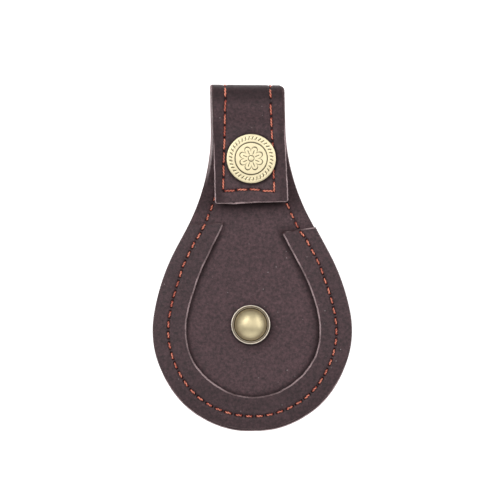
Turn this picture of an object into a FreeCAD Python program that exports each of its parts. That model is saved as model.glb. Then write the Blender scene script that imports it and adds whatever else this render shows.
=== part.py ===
"""Leather toe rest pad with a raised rim, a domed centre stud and a snap-closed strap loop.

Millimetres. The pad lies on its back: +Z comes out of its face, +Y points along the neck to the
fold of the strap, and the origin is under the middle of its overall length. One writer per node.
"""

import FreeCAD, Part
import math
import os

Vector = FreeCAD.Vector

# Overall size
LENGTH = 139.0
RIM_RADIUS = 40.0
RIM_PROUD = 0.45  # how far the rim's cut edge stands outside the panels
PAD_Y = -LENGTH / 2 + RIM_RADIUS

# Panel outline: round pad, convex shoulder, straight flank, concave throat, parallel neck
PAD_RADIUS = RIM_RADIUS - RIM_PROUD
SHOULDER_START = math.radians(10.0)
SHOULDER_RADIUS = 85.0
FLANK_SLOPE = math.radians(27.0)
THROAT_RADIUS = 83.0
NECK_HALF = 15.0

# Leather
PANEL = 1.5  # thickness of one panel
BODY = 2 * PANEL  # two panels sewn together
RIM = 2.0
RIM_TOP = BODY + RIM
RIM_WIDTH = 12.85
RIM_END_LEFT = PAD_Y + 43.5
RIM_END_RIGHT = PAD_Y + 37.8  # where the line of the right end's cut meets the centreline
RIM_END_RIGHT_TILT = 7.0  # degrees, the cut rises outwards

# Fold and strap
FOLD_INNER = 3.0
FOLD_OUTER = FOLD_INNER + BODY
FOLD_Z = FOLD_OUTER
FOLD_Y = LENGTH / 2 - FOLD_OUTER
STRAP_GAP = 3.4  # between the neck and the closed strap
DROP_RUN = 14.0  # length of the strap's easing down from the fold
STRAP_END = PAD_Y + 51.4
FOLD_HALF = 14.2  # the strip narrows a little as it turns over
STRAP_LEFT_END = -13.7
STRAP_RIGHT_END = 15.8
STRAP_CORNER = 1.0

# Seam
SEAM_INSET = 5.8
SEAM_PITCH = 4.2
SEAM_STITCH = 2.3
STRAP_PITCH = 5.6
STRAP_STITCH = 4.0
THREAD_WIDTH = 0.8
THREAD_HEIGHT = 0.45
CHANNEL_WIDTH = 1.2
CHANNEL_DEPTH = 0.55
SEAM_X = NECK_HALF - SEAM_INSET
STRAP_ROW_Y = PAD_Y + 56.4
STRAP_ROW_LEFT = -10.5
STRAP_ROW_RIGHT = 9.9

# Snap
SNAP_X = 1.0
SNAP_Y = PAD_Y + 68.9
CAP_RADIUS = 10.0
CAP_HEIGHT = 1.5
CAP_WALL = 0.7
CAP_RING_RADIUS = 6.45
CAP_BEADS = 36
SNAP_TUBE = 2.2
SNAP_EYELET = 1.3
STUD_TOP = 2.5  # above the neck
STUD_HEAD = 2.5
SOCKET_BORE = 2.95
SOCKET_CUP = 4.9
SOCKET_RADIUS = 6.3
SOCKET_LIFT = 0.6  # of its mouth above the neck
SHEET_METAL = 0.5
SPRING_RADIUS = 2.7
SPRING_WIRE = 0.4

# Centre stud
STUD_X = -0.6
STUD_Y = PAD_Y + 2.45
COLLAR_RADIUS = 7.85
COLLAR_LIP = 0.45
DOME_RADIUS = 6.4
DOME_HEIGHT = 4.6
DOME_SHOULDER = 2.6
DOME_WALL = 0.5
DOME_BASE = 0.9  # above the seat
STUD_TUBE = 2.0
STUD_PIN = 1.2
REAR_HEAD = 4.8
REAR_HEAD_THICK = 0.5
REAR_RECESS = 5.0

STRAP_TOP = BODY + STRAP_GAP + BODY


def direction(angle):
    return Vector(math.cos(angle), math.sin(angle), 0)


def export(name, shape):
    shape.exportStep("parts/%s.step" % name)


def extrude_up(face, bottom, top):
    moved = face.translated(Vector(0, 0, bottom))
    return moved.extrude(Vector(0, 0, top - bottom))


def revolved(profile, x, y):
    """Solid of revolution about a vertical axis from a closed (radius, z) polygon."""
    points = [Vector(x + r, y, z) for r, z in profile]
    face = Part.Face(Part.makePolygon(points + points[:1]))
    return face.revolve(Vector(x, y, 0), Vector(0, 0, 1), 360)


def disc(radius, x, y, bottom, top):
    return Part.makeCylinder(radius, top - bottom, Vector(x, y, bottom))


# Outline -------------------------------------------------------------------------------------


def outline_half(inset):
    """Right half of the outline as edges from the pad's lowest point up to the fold."""
    pad = Vector(0, PAD_Y, 0)
    shoulder = pad - direction(SHOULDER_START) * (SHOULDER_RADIUS - PAD_RADIUS)
    flank_low = shoulder + direction(FLANK_SLOPE) * SHOULDER_RADIUS
    flank_high_x = NECK_HALF + THROAT_RADIUS * (1 - math.cos(FLANK_SLOPE))
    flank_run = (flank_low.x - flank_high_x) / math.sin(FLANK_SLOPE)
    flank_high = flank_low + direction(FLANK_SLOPE + math.pi / 2) * flank_run
    throat = flank_high + direction(FLANK_SLOPE) * THROAT_RADIUS

    def on_pad(angle):
        return pad + direction(angle) * (PAD_RADIUS - inset)

    def on_shoulder(angle):
        return shoulder + direction(angle) * (SHOULDER_RADIUS - inset)

    def on_throat(angle):
        return throat - direction(angle) * (THROAT_RADIUS + inset)

    shoulder_middle = (SHOULDER_START + FLANK_SLOPE) / 2
    neck_start = on_throat(0)
    neck_end = Vector(neck_start.x, FOLD_Y, 0)
    pad_arc = Part.Arc(on_pad(-math.pi / 2), on_pad(-math.pi / 5), on_pad(SHOULDER_START))
    shoulder_arc = Part.Arc(on_pad(SHOULDER_START), on_shoulder(shoulder_middle), on_shoulder(FLANK_SLOPE))
    flank = Part.LineSegment(on_shoulder(FLANK_SLOPE), on_throat(FLANK_SLOPE))
    throat_arc = Part.Arc(on_throat(FLANK_SLOPE), on_throat(FLANK_SLOPE / 2), neck_start)
    neck = Part.LineSegment(neck_start, neck_end)
    return [curve.toShape() for curve in (pad_arc, shoulder_arc, flank, throat_arc, neck)]


def outline_wire(inset):
    """Open wire from the fold's right end round the pad to the fold's left end."""
    right = outline_half(inset)
    left = [edge.mirror(Vector(0, 0, 0), Vector(1, 0, 0)) for edge in right]
    return Part.Wire(Part.__sortEdges__(right + left))


def outline_face(inset):
    half_width = NECK_HALF - inset
    closing = Part.makeLine(Vector(-half_width, FOLD_Y, 0), Vector(half_width, FOLD_Y, 0))
    edges = outline_wire(inset).Edges + [closing]
    return Part.Face(Part.Wire(Part.__sortEdges__(edges)))


def outline_band(outer_inset, inner_inset):
    return outline_face(outer_inset).cut(outline_face(inner_inset))


# Stitches ------------------------------------------------------------------------------------


def stitch(start, end, bottom, height=THREAD_HEIGHT):
    """One flat stitch lying between two plan points."""
    run = end - start
    box = Part.makeBox(run.Length, THREAD_WIDTH, height, Vector(0, -THREAD_WIDTH / 2, 0))
    box.rotate(Vector(0, 0, 0), Vector(0, 0, 1), math.degrees(math.atan2(run.y, run.x)))
    box.translate(Vector(start.x, start.y, bottom))
    return box


def stitch_ends(path, pitch, length, shift=0.0):
    """Ends of the whole stitches along a wire; a shift of half a pitch gives the other side's."""
    count = round(path.Length / pitch)
    step = path.Length / count
    fine = path.discretize(Number=count * 40 + 1)
    per_mm = count * 40 / path.Length
    ends = []
    for k in range(count):
        middle = (k + 0.5 + shift) * step
        first = round((middle - length / 2) * per_mm)
        last = round((middle + length / 2) * per_mm)
        if last < len(fine):
            ends.append((fine[first], fine[last]))
    return ends


def is_on_rim(point):
    right_end = RIM_END_RIGHT + point.x * math.tan(math.radians(RIM_END_RIGHT_TILT))
    return point.y < (right_end if point.x > 0 else RIM_END_LEFT)


def seam_front():
    stitches = []
    for start, end in stitch_ends(outline_wire(SEAM_INSET), SEAM_PITCH, SEAM_STITCH):
        bottom = RIM_TOP if is_on_rim(start) and is_on_rim(end) else BODY
        stitches.append(stitch(start, end, bottom))
    return Part.makeCompound(stitches)


def seam_back():
    ends = stitch_ends(outline_wire(SEAM_INSET), SEAM_PITCH, SEAM_STITCH, 0.5)
    bottom = CHANNEL_DEPTH - THREAD_HEIGHT
    return Part.makeCompound([stitch(start, end, bottom) for start, end in ends])


def seam_channel(bottom, top):
    half = CHANNEL_WIDTH / 2
    return extrude_up(outline_band(SEAM_INSET - half, SEAM_INSET + half), bottom, top)


# Panels and rim ------------------------------------------------------------------------------


def eyelet_holes(bottom, top):
    snap_hole = disc(SNAP_EYELET, SNAP_X, SNAP_Y, bottom, top)
    stud_hole = disc(STUD_TUBE, STUD_X, STUD_Y, bottom, top)
    return snap_hole.fuse(stud_hole)


def rear_recesses():
    depth = REAR_HEAD_THICK + 0.1
    snap_recess = disc(REAR_RECESS, SNAP_X, SNAP_Y, 0, depth)
    stud_recess = disc(REAR_RECESS, STUD_X, STUD_Y, 0, depth)
    return snap_recess.fuse(stud_recess)


def back_leather():
    panel = extrude_up(outline_face(0), 0, PANEL)
    panel = panel.cut(seam_channel(0, CHANNEL_DEPTH))
    return panel.cut(rear_recesses()).cut(eyelet_holes(0, PANEL))


def front_leather():
    return extrude_up(outline_face(0), PANEL, BODY).cut(eyelet_holes(PANEL, BODY))


def rim_leather():
    """Horseshoe rim: an even band along the outline, open towards the neck."""
    band = extrude_up(outline_band(-RIM_PROUD, RIM_WIDTH - RIM_PROUD), BODY, RIM_TOP)
    reach = LENGTH
    left = Part.makeBox(reach, reach, RIM, Vector(-reach, RIM_END_LEFT, BODY))
    right = Part.makeBox(reach, reach, RIM, Vector(0, 0, 0))
    right.rotate(Vector(0, 0, 0), Vector(0, 0, 1), RIM_END_RIGHT_TILT)
    right.translate(Vector(0, RIM_END_RIGHT, BODY))
    return band.cut(left).cut(right)


# Fold ----------------------------------------------------------------------------------------


def half_ring(inner, outer, x_from, x_to, start=-90.0, sweep=180.0):
    """Part of a ring about the fold's axis; -90 degrees is on the neck, +90 on the strap."""
    angle = math.radians(start)
    outwards = Vector(0, math.cos(angle), math.sin(angle))
    centre = Vector(0, FOLD_Y, FOLD_Z)
    corners = [(x_from, inner), (x_to, inner), (x_to, outer), (x_from, outer)]
    points = [centre + Vector(x, 0, 0) + outwards * r for x, r in corners]
    face = Part.Face(Part.makePolygon(points + points[:1]))
    return face.revolve(centre, Vector(1, 0, 0), sweep)


def fold_taper():
    """Prism that narrows the strip from the neck's width to the strap's as it turns over."""
    reach = 4 * FOLD_OUTER
    wide_until = FOLD_Z - FOLD_INNER
    narrow_from = FOLD_Z + FOLD_INNER
    right = [(NECK_HALF, -1.0), (NECK_HALF, wide_until), (FOLD_HALF, narrow_from)]
    right.append((FOLD_HALF, FOLD_Z + FOLD_OUTER + 1.0))
    corners = right + [(-x, z) for x, z in reversed(right)]
    points = [Vector(x, FOLD_Y - reach / 2, z) for x, z in corners]
    face = Part.Face(Part.makePolygon(points + points[:1]))
    return face.extrude(Vector(0, reach, 0))


def fold_layer(inner, outer):
    return half_ring(inner, outer, -NECK_HALF, NECK_HALF).common(fold_taper())


def fold_leather():
    layer = fold_layer(FOLD_INNER + PANEL, FOLD_OUTER)
    for side in (-1, 1):
        left = side * SEAM_X - CHANNEL_WIDTH / 2
        right = left + CHANNEL_WIDTH
        layer = layer.cut(half_ring(FOLD_OUTER - CHANNEL_DEPTH, FOLD_OUTER + 1, left, right))
    return layer


def fold_lining():
    return fold_layer(FOLD_INNER, FOLD_INNER + PANEL)


def fold_thread():
    """Stitches that follow the turn at the bottom of the channel, three to each row."""
    pitch = 180.0 / 3
    sweep = pitch * STRAP_STITCH / STRAP_PITCH
    inner = FOLD_OUTER - CHANNEL_DEPTH
    stitches = []
    for side in (-1, 1):
        left = side * SEAM_X - THREAD_WIDTH / 2
        right = left + THREAD_WIDTH
        for k in range(3):
            start = -90.0 + pitch * (k + 0.5) - sweep / 2
            stitches.append(half_ring(inner, inner + THREAD_HEIGHT, left, right, start, sweep))
    return Part.makeCompound(stitches)


# Strap ---------------------------------------------------------------------------------------


def strap_curve(level):
    """Side-view edges of the strap at a level above its inner face, from the fold to its end."""
    drop = FOLD_OUTER + FOLD_INNER - (BODY + STRAP_GAP)
    radius = (DROP_RUN**2 + drop**2) / (4 * drop)
    turn = math.asin(DROP_RUN / (2 * radius))
    middle_level = BODY / 2
    off = level - middle_level
    high_z = FOLD_Z + FOLD_INNER + middle_level
    low_z = high_z - drop
    crest = Vector(0, FOLD_Y, high_z - radius)
    trough = Vector(0, FOLD_Y - DROP_RUN, low_z + radius)

    def on_crest(angle):
        return crest + Vector(0, -math.sin(angle), math.cos(angle)) * (radius + off)

    def on_trough(angle):
        return trough + Vector(0, math.sin(angle), -math.cos(angle)) * (radius - off)

    down = Part.Arc(on_crest(0), on_crest(turn / 2), on_crest(turn))
    level_out = Part.Arc(on_trough(turn), on_trough(turn / 2), on_trough(0))
    flat = Part.LineSegment(on_trough(0), Vector(0, STRAP_END, low_z + off))
    return [curve.toShape() for curve in (down, level_out, flat)]


def strap_sheet(lower, upper):
    """A layer of the strap between two levels, wider than the strap."""
    low = strap_curve(lower)
    high = strap_curve(upper)
    root = Part.makeLine(low[0].Vertexes[0].Point, high[0].Vertexes[0].Point)
    tip = Part.makeLine(low[-1].Vertexes[1].Point, high[-1].Vertexes[1].Point)
    face = Part.Face(Part.Wire(Part.__sortEdges__(low + [tip] + high + [root])))
    width = 4 * NECK_HALF
    return face.translated(Vector(-width / 2, 0, 0)).extrude(Vector(width, 0, 0))


def strap_plan():
    """Upright prism of the strap's plan, with its two lower corners cut off."""
    corner = STRAP_CORNER
    plan = [
        (-FOLD_HALF, FOLD_Y),
        (STRAP_LEFT_END, STRAP_END + corner),
        (STRAP_LEFT_END + corner, STRAP_END),
        (STRAP_RIGHT_END - corner, STRAP_END),
        (STRAP_RIGHT_END, STRAP_END + corner),
        (FOLD_HALF, FOLD_Y),
    ]
    points = [Vector(x, y, 0) for x, y in plan]
    return extrude_up(Part.Face(Part.makePolygon(points + points[:1])), 0, 2 * STRAP_TOP)


def strap_rows():
    """The three straight rows of the strap's seam, in plan."""
    left = (Vector(-SEAM_X, FOLD_Y, 0), Vector(STRAP_ROW_LEFT, STRAP_ROW_Y, 0))
    right = (Vector(SEAM_X, FOLD_Y, 0), Vector(STRAP_ROW_RIGHT, STRAP_ROW_Y, 0))
    return [left, (left[1], right[1]), right]


def row_prism(start, end, width):
    run = end - start
    prism = Part.makeBox(run.Length, width, 2 * STRAP_TOP, Vector(0, -width / 2, 0))
    prism.rotate(Vector(0, 0, 0), Vector(0, 0, 1), math.degrees(math.atan2(run.y, run.x)))
    prism.translate(Vector(start.x, start.y, 0))
    return prism


def snap_hole():
    return disc(SNAP_TUBE, SNAP_X, SNAP_Y, 0, 2 * STRAP_TOP)


def strap_leather():
    layer = strap_sheet(PANEL, BODY).common(strap_plan()).cut(snap_hole())
    channel = strap_sheet(BODY - CHANNEL_DEPTH, BODY + 1)
    for start, end in strap_rows():
        layer = layer.cut(channel.common(row_prism(start, end, CHANNEL_WIDTH)))
    return layer


def strap_lining():
    return strap_sheet(0, PANEL).common(strap_plan()).cut(snap_hole())


def strap_thread(lower, shift, keep_clear):
    """Stitches of the strap's seam in a thin layer that starts at a level of the strap."""
    layer = strap_sheet(lower, lower + THREAD_HEIGHT)
    clear = disc(keep_clear, SNAP_X, SNAP_Y, 0, 2 * STRAP_TOP)
    stitches = []
    for start, end in strap_rows():
        row = Part.makeLine(start, end)
        row_stitches = stitch_ends(Part.Wire(row), STRAP_PITCH, STRAP_STITCH, shift)
        for first, last in row_stitches:
            solid = layer.common(row_prism(first, last, THREAD_WIDTH)).cut(clear)
            stitches += solid.Solids
    return Part.makeCompound(stitches)


# Snap ----------------------------------------------------------------------------------------


def snap_post():
    """Eyelet that comes up through the neck and holds the snap's male half."""
    thick = REAR_HEAD_THICK
    profile = [
        (0.8, 0.1),
        (REAR_HEAD, 0.1),
        (REAR_HEAD, 0.1 + thick),
        (SNAP_EYELET, 0.1 + thick),
        (SNAP_EYELET, BODY + STUD_TOP - 0.3),
        (0.8, BODY + STUD_TOP - 0.3),
    ]
    return revolved(profile, SNAP_X, SNAP_Y)


def snap_stud():
    waist = STUD_HEAD - 0.55
    profile = [
        (SNAP_EYELET, BODY),
        (5.5, BODY),
        (5.5, BODY + 0.4),
        (waist, BODY + 0.4),
        (waist, BODY + 1.45),
        (STUD_HEAD, BODY + 1.65),
        (STUD_HEAD, BODY + STUD_TOP - 0.4),
        (STUD_HEAD - 0.5, BODY + STUD_TOP),
        (SNAP_EYELET, BODY + STUD_TOP),
    ]
    return revolved(profile, SNAP_X, SNAP_Y)


def snap_socket():
    """Cup with a mouth for the stud and a groove that holds the ring spring."""
    face = BODY + STRAP_GAP
    flange = face - SHEET_METAL
    mouth = BODY + SOCKET_LIFT
    groove = SOCKET_BORE + 0.5
    groove_low = mouth + 0.2
    groove_high = groove_low + 2 * SPRING_WIRE + 0.2
    profile = [
        (SOCKET_BORE, mouth),
        (SOCKET_CUP, mouth),
        (SOCKET_CUP, flange),
        (SOCKET_RADIUS, flange),
        (SOCKET_RADIUS, face),
        (SNAP_TUBE, face),
        (SNAP_TUBE, flange),
        (SOCKET_BORE, flange),
        (SOCKET_BORE, groove_high),
        (groove, groove_high),
        (groove, groove_low),
        (SOCKET_BORE, groove_low),
    ]
    return revolved(profile, SNAP_X, SNAP_Y)


def snap_spring():
    """Split ring that grips the stud under its head."""
    level = BODY + SOCKET_LIFT + 0.25 + SPRING_WIRE
    ring = Part.makeTorus(SPRING_RADIUS, SPRING_WIRE, Vector(SNAP_X, SNAP_Y, level))
    gap = 1.2
    split = Part.makeBox(gap, 2 * SPRING_RADIUS, BODY, Vector(SNAP_X - gap / 2, SNAP_Y, BODY))
    return ring.cut(split)


def snap_cap_post():
    """Disc inside the cap with a tube that is rolled over inside the socket."""
    flange = BODY + STRAP_GAP - SHEET_METAL
    bore = SNAP_TUBE - 0.6
    rolled = SNAP_TUBE + 0.5
    disc_radius = CAP_RADIUS - 1.4
    profile = [
        (bore, flange - 0.25),
        (rolled, flange - 0.25),
        (rolled, flange),
        (SNAP_TUBE, flange),
        (SNAP_TUBE, STRAP_TOP),
        (disc_radius, STRAP_TOP),
        (disc_radius, STRAP_TOP + SHEET_METAL),
        (bore, STRAP_TOP + SHEET_METAL),
    ]
    return revolved(profile, SNAP_X, SNAP_Y)


def snap_cap_shell():
    """Die-struck cap with a ring groove and a circle of beads on its border."""
    top = STRAP_TOP + CAP_HEIGHT
    inner = CAP_RADIUS - 1.2
    groove = 0.2
    profile = [
        (inner, STRAP_TOP),
        (CAP_RADIUS - 0.3, STRAP_TOP),
        (CAP_RADIUS, STRAP_TOP + 0.3),
        (CAP_RADIUS, top - 0.5),
        (CAP_RADIUS - 0.5, top),
        (CAP_RING_RADIUS + groove, top),
        (CAP_RING_RADIUS, top - groove),
        (CAP_RING_RADIUS - groove, top),
        (0, top),
        (0, top - CAP_WALL),
        (inner, top - CAP_WALL),
    ]
    shell = revolved(profile, SNAP_X, SNAP_Y)
    bead_circle = (CAP_RING_RADIUS + CAP_RADIUS) / 2
    bead = 0.5
    for k in range(CAP_BEADS):
        place = direction(2 * math.pi * k / CAP_BEADS) * bead_circle
        centre = Vector(SNAP_X + place.x, SNAP_Y + place.y, top - 0.15)
        shell = shell.fuse(Part.makeSphere(bead, centre))
    return shell


# Centre stud ---------------------------------------------------------------------------------


def stud_collar():
    """Dished washer round the dome with a lip rolled at its edge."""
    lip = COLLAR_LIP
    washer_top = BODY + SHEET_METAL
    profile = [
        (STUD_TUBE, BODY),
        (COLLAR_RADIUS, BODY),
        (COLLAR_RADIUS, BODY + 2 * lip),
        (COLLAR_RADIUS - lip / 2, BODY + 2.6 * lip),
        (COLLAR_RADIUS - 1.5 * lip, BODY + 2.6 * lip),
        (COLLAR_RADIUS - 2 * lip, washer_top),
        (STUD_TUBE, washer_top),
    ]
    return revolved(profile, STUD_X, STUD_Y)


def dome_curve(wall):
    """Side-view edges of the dome, a tight shoulder arc and a flat crown arc, inset by a wall."""
    crown = (DOME_RADIUS - DOME_SHOULDER) ** 2 + DOME_HEIGHT**2 - DOME_SHOULDER**2
    crown = crown / (2 * (DOME_HEIGHT - DOME_SHOULDER))
    base = Vector(STUD_X, STUD_Y, BODY + DOME_BASE)
    shoulder_centre = base + Vector(DOME_RADIUS - DOME_SHOULDER, 0, 0)
    crown_centre = base + Vector(0, 0, DOME_HEIGHT - crown)
    meet = (shoulder_centre - crown_centre).normalize()
    meet_angle = math.atan2(meet.z, meet.x)

    def on_shoulder(angle):
        return shoulder_centre + Vector(math.cos(angle), 0, math.sin(angle)) * (DOME_SHOULDER - wall)

    def on_crown(angle):
        return crown_centre + Vector(math.cos(angle), 0, math.sin(angle)) * (crown - wall)

    shoulder = Part.Arc(on_shoulder(0), on_shoulder(meet_angle / 2), on_shoulder(meet_angle))
    crown_middle = (meet_angle + math.pi / 2) / 2
    over = Part.Arc(on_crown(meet_angle), on_crown(crown_middle), on_crown(math.pi / 2))
    return [shoulder.toShape(), over.toShape()]


def stud_dome():
    """Hollow domed cap."""
    outer = dome_curve(0)
    inner = dome_curve(DOME_WALL)
    foot = Part.makeLine(outer[0].Vertexes[0].Point, inner[0].Vertexes[0].Point)
    axis = Part.makeLine(outer[1].Vertexes[1].Point, inner[1].Vertexes[1].Point)
    face = Part.Face(Part.Wire(Part.__sortEdges__(outer + [axis] + inner + [foot])))
    return face.revolve(Vector(STUD_X, STUD_Y, 0), Vector(0, 0, 1), 360)


def stud_tube():
    """Flange closed inside the dome, with a tube down through the panels."""
    washer_top = BODY + SHEET_METAL
    profile = [
        (STUD_PIN, PANEL / 2),
        (STUD_TUBE, PANEL / 2),
        (STUD_TUBE, washer_top),
        (DOME_RADIUS - 0.2, washer_top),
        (DOME_RADIUS - 0.2, BODY + DOME_BASE),
        (STUD_TUBE, BODY + DOME_BASE),
        (STUD_TUBE, BODY + DOME_BASE + 1.6),
        (STUD_PIN, BODY + DOME_BASE + 1.6),
    ]
    return revolved(profile, STUD_X, STUD_Y)


def stud_pin():
    head = disc(REAR_HEAD, STUD_X, STUD_Y, 0.1, 0.1 + REAR_HEAD_THICK)
    pin = disc(STUD_PIN, STUD_X, STUD_Y, 0.1 + REAR_HEAD_THICK, BODY + DOME_BASE + 1.4)
    return head.fuse(pin).removeSplitter()


def main():
    os.makedirs("parts", exist_ok=True)
    export("back_leather", back_leather())
    export("front_leather", front_leather())
    export("rim_leather", rim_leather())
    export("seam_thread_front", seam_front())
    export("seam_thread_back", seam_back())
    export("fold_leather", fold_leather())
    export("fold_lining", fold_lining())
    export("fold_thread", fold_thread())
    export("strap_leather", strap_leather())
    export("strap_lining", strap_lining())
    export("strap_thread_outer", strap_thread(BODY - CHANNEL_DEPTH, 0.0, CAP_RADIUS + 0.3))
    export("strap_thread_inner", strap_thread(-THREAD_HEIGHT, 0.5, SOCKET_RADIUS + 0.3))
    export("snap_post", snap_post())
    export("snap_stud", snap_stud())
    export("snap_socket", snap_socket())
    export("snap_spring", snap_spring())
    export("snap_cap_post", snap_cap_post())
    export("snap_cap_shell", snap_cap_shell())
    export("stud_collar", stud_collar())
    export("stud_dome", stud_dome())
    export("stud_tube", stud_tube())
    export("stud_pin", stud_pin())


main()
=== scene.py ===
"""Looks for a leather toe rest pad with a raised rim, a domed centre stud and a snap strap."""

import math

import bmesh
import bpy
import numpy as np
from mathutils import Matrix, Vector, noise


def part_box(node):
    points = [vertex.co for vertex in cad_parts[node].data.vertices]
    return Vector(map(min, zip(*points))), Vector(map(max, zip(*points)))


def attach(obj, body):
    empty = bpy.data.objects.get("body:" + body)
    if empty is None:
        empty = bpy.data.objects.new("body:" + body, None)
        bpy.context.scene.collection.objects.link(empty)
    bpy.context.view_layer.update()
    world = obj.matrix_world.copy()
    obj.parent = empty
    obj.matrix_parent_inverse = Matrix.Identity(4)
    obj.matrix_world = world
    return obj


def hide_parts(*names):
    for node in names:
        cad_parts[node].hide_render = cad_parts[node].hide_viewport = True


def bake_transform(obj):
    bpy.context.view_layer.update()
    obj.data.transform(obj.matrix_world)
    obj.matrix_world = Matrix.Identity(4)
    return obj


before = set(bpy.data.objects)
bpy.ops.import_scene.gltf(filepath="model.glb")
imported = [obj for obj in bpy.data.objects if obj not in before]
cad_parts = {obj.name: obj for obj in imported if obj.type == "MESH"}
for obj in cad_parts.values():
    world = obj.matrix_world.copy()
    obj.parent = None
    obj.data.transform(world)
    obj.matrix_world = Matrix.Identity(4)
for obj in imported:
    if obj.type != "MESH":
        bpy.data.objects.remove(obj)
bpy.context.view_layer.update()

MM = 0.001


def box_mm(node):
    low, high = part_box(node)
    return np.array(low) / MM, np.array(high) / MM


# Sizes from the frame, in millimetres
BACK_LOW, BACK_HIGH = box_mm("back_leather")
FRONT_LOW, FRONT_HIGH = box_mm("front_leather")
RIM_HIGH = box_mm("rim_leather")[1]
FOLD_LOW, FOLD_HIGH = box_mm("fold_leather")
CAP_LOW, CAP_HIGH = box_mm("snap_cap_shell")
COLLAR_LOW, COLLAR_HIGH = box_mm("stud_collar")
DOME_LOW, DOME_HIGH = box_mm("stud_dome")
PIN_LOW, PIN_HIGH = box_mm("stud_pin")

PANEL = BACK_HIGH[2] - BACK_LOW[2]
BODY = FRONT_HIGH[2]
RIM_TOP = RIM_HIGH[2]
PAD_RADIUS = BACK_HIGH[0]
PAD_Y = BACK_LOW[1] + PAD_RADIUS
RIM_PROUD = RIM_HIGH[0] - BACK_HIGH[0]
FOLD_Y = FOLD_LOW[1]
FOLD_OUTER = FOLD_HIGH[1] - FOLD_LOW[1]
FOLD_INNER = FOLD_OUTER - BODY
FOLD_Z = FOLD_OUTER
STRAP_END = box_mm("strap_leather")[0][1]
STRAP_UNDER = box_mm("strap_lining")[0][2]
STUD = (COLLAR_LOW[:2] + COLLAR_HIGH[:2]) / 2
SNAP = (CAP_LOW[:2] + CAP_HIGH[:2]) / 2
REAR_HEAD = (PIN_HIGH[0] - PIN_LOW[0]) / 2
COLLAR_RADIUS = (COLLAR_HIGH[0] - COLLAR_LOW[0]) / 2
DOME_RADIUS = (DOME_HIGH[0] - DOME_LOW[0]) / 2
CAP_RADIUS = (CAP_HIGH[0] - CAP_LOW[0]) / 2 - 0.1

# The outline's own sizes, as in the CAD model
SHOULDER_START = math.radians(10)
SHOULDER_RADIUS = 85.0
FLANK_SLOPE = math.radians(27)
THROAT_RADIUS = 83.0
NECK_HALF = 15.0
RIM_WIDTH = 12.85
RIM_END_LEFT = PAD_Y + 43.5
RIM_END_RIGHT = PAD_Y + 37.8
RIM_END_RIGHT_TILT = math.radians(7)
DROP_RUN = 14.0
EDGE_ROUND = 0.42

# Seams: inset, pitch, and length of the stitches that show
SEAM_INSET = 5.8
SEAM_SHIFT = 0.6
SEAM_PITCH = 4.2
SEAM_STITCH = 2.8
STRAP_PITCH = 5.6
STRAP_STITCH = 4.9
ROW_PITCH = 5.1
STRAP_ROW_Y = PAD_Y + 56.4
STRAP_ROW_LEFT = -10.5
STRAP_ROW_RIGHT = 9.9
ROW_LENGTH = STRAP_ROW_RIGHT - STRAP_ROW_LEFT
SEAM_X = NECK_HALF - SEAM_INSET

rng = np.random.default_rng(7)


# --- Mesh helpers ---


def add_object(name, points, faces, materials, face_materials=None):
    """A mesh object from points in millimetres."""
    mesh = bpy.data.meshes.new(name)
    mesh.from_pydata((np.asarray(points) * MM).tolist(), [], [tuple(map(int, f)) for f in faces])
    for material in materials:
        mesh.materials.append(material)
    if face_materials is not None:
        mesh.polygons.foreach_set("material_index", np.asarray(face_materials, dtype=np.int32))
    mesh.polygons.foreach_set("use_smooth", np.full(len(mesh.polygons), True))
    mesh.update()
    obj = bpy.data.objects.new(name, mesh)
    bpy.context.scene.collection.objects.link(obj)
    return obj


def grid_faces(rows, columns, closed_rows=False):
    """Quads of a rows by columns grid whose columns close round, numbered row by row."""
    row, column = np.arange(rows if closed_rows else rows - 1), np.arange(columns)
    r, c = np.meshgrid(row, column, indexing="ij")
    r2, c2 = (r + 1) % rows, (c + 1) % columns
    quads = np.stack([r * columns + c, r * columns + c2, r2 * columns + c2, r2 * columns + c], -1)
    return quads.reshape(-1, 4)


def weld(obj):
    """Joins points that coincide, drops what that flattens and turns every face outwards."""
    mesh = bmesh.new()
    mesh.from_mesh(obj.data)
    bmesh.ops.remove_doubles(mesh, verts=mesh.verts, dist=1e-7)
    bmesh.ops.delete(mesh, geom=[e for e in mesh.edges if not e.link_faces], context="EDGES")
    bmesh.ops.recalc_face_normals(mesh, faces=mesh.faces)
    mesh.to_mesh(obj.data)
    mesh.free()


def set_values(obj, name, values):
    """A number at every point of a mesh, for its material to read."""
    attribute = obj.data.attributes.new(name, "FLOAT", "POINT")
    attribute.data.foreach_set("value", np.asarray(values, dtype=np.float32))


def loft(name, sections, materials, kinds, end_material=0, **values):
    """Closed skin over a run of closed sections, with each face's material and its points' marks."""
    rows, columns = sections.shape[:2]
    faces = grid_faces(rows, columns).tolist()
    kinds = np.broadcast_to(kinds, (rows - 1, columns)).ravel()
    faces += [list(range(columns)), [(rows - 1) * columns + k for k in range(columns)]]
    kinds = np.concatenate([kinds, [end_material, end_material]])
    obj = add_object(name, sections.reshape(-1, 3), faces, materials, kinds)
    for value, numbers in values.items():
        set_values(obj, value, np.broadcast_to(numbers, (rows, columns)).ravel())
    obj.data.polygons[-1].use_smooth = False
    obj.data.polygons[-2].use_smooth = False
    weld(obj)
    return obj


def ease(low, high, x):
    """Rises smoothly from 0 at low to 1 at high; it falls if high is the smaller."""
    t = np.clip((np.asarray(x, float) - low) / (high - low), 0, 1)
    return t * t * (3 - 2 * t)


def bump_at(x, centre, width):
    """A smooth hump of height 1 at a centre, zero beyond its half width."""
    t = np.clip(1 - ((np.asarray(x, float) - centre) / width) ** 2, 0, 1)
    return t * t


def wave(x, y, scale, seed):
    """Smooth noise from about -1 to 1 over a plan, with features about scale mm wide."""
    x, y = np.broadcast_arrays(np.asarray(x, float), np.asarray(y, float))
    flat = [noise.noise(Vector((a / scale, b / scale, seed))) for a, b in zip(x.ravel(), y.ravel())]
    return np.array(flat).reshape(x.shape) * 1.6


# --- Outline ---


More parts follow.
